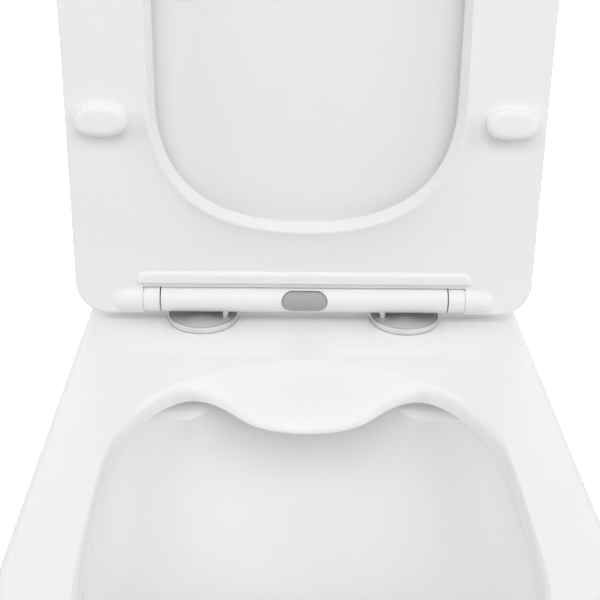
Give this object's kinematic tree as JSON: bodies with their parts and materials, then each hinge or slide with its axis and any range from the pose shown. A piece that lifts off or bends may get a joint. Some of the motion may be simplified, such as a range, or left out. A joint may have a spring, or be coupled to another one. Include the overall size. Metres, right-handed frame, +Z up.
{
  "type": "wall-hung toilet",
  "caption": "White wall-hung rimless toilet pan with a hooded flush nose, slim soft-close seat and lid raised on a hinge bar with a grey release button, round brushed hinge discs on the deck.",
  "frame": {"origin": "on the wall face, midway between the two fixing studs", "axes": "+X to the right of someone facing the wall, +Y into the wall, +Z up"},
  "size_m": [0.35, 0.505, 0.7723],
  "materials": {
    "vitreous_china": "white gloss glaze",
    "cap_plastic": "white gloss",
    "sleeve_plastic": "moulded natural",
    "zinc_steel": "zinc plated",
    "spun_steel": "spun brushed with a bright edge",
    "post_chrome": "polished",
    "seal_rubber": "matte black",
    "nut_brass": "as machined",
    "bar_plastic": "white gloss",
    "button_grey": "satin mid grey",
    "latch_steel": "stainless",
    "damper_plastic": "moulded grey",
    "seat_plastic": "white gloss moulded",
    "lid_plastic": "white gloss moulded",
    "buffer_white": "soft white"
  },
  "bodies": {
    "pan": {"pan_shell": "vitreous_china", "pan_bowl": "vitreous_china", "pan_trap": "vitreous_china", "flush_channel": "vitreous_china", "inlet_seal": "seal_rubber", "access_cap_left": "cap_plastic", "access_cap_right": "cap_plastic", "stud_sleeves": "sleeve_plastic", "stud_washers": "zinc_steel", "stud_nuts": "zinc_steel", "hinge_disc_left": "spun_steel", "hinge_disc_right": "spun_steel", "hinge_post_left": "post_chrome", "hinge_post_right": "post_chrome", "hinge_gaskets": "seal_rubber", "seat_bolts": "zinc_steel", "deck_plugs": "seal_rubber", "plug_nuts": "nut_brass", "hinge_bar": "bar_plastic", "latch_spring_left": "latch_steel", "latch_spring_right": "latch_steel", "damper_housing_left": "damper_plastic", "damper_housing_right": "damper_plastic", "damper_caps": "damper_plastic", "damper_seals": "seal_rubber", "damper_screws": "zinc_steel"},
    "lid": {"lid": "lid_plastic", "lid_pads": "buffer_white", "lid_damper_shaft": "latch_steel"},
    "seat": {"seat_ring": "seat_plastic", "seat_buffers": "buffer_white", "seat_damper_shaft": "latch_steel"},
    "button": {"release_button": "button_grey"},
    "latch_left": {"latch_left": "latch_steel"},
    "latch_right": {"latch_right": "latch_steel"}
  },
  "joints": [
    {"name": "lid_hinge", "type": "hinge", "parent": "pan", "child": "lid", "pos_m": [0, -0.09, 0.102], "axis": [1, 0, 0], "range_deg": [0, 97]},
    {"name": "seat_hinge", "type": "hinge", "parent": "pan", "child": "seat", "pos_m": [0, -0.09, 0.102], "axis": [1, 0, 0], "range_deg": [0, 97]},
    {"name": "button_press", "type": "slide", "parent": "pan", "child": "button", "axis": [0, 0.9781, -0.2079], "range_m": [0, 0.004], "stiffness_N_per_m": 800},
    {"name": "latch_slide_left", "type": "slide", "parent": "pan", "child": "latch_left", "axis": [-1, 0, 0], "range_m": [0, 0.004], "deforming": ["latch_spring_left"]},
    {"name": "latch_slide_right", "type": "slide", "parent": "pan", "child": "latch_right", "axis": [1, 0, 0], "range_m": [0, 0.004], "deforming": ["latch_spring_right"]}
  ],
  "couplings": [
    {"joint": "seat_hinge", "follows": "lid_hinge", "ratio": 1},
    {"joint": "latch_slide_left", "follows": "button_press", "ratio": 1},
    {"joint": "latch_slide_right", "follows": "button_press", "ratio": 1}
  ]
}
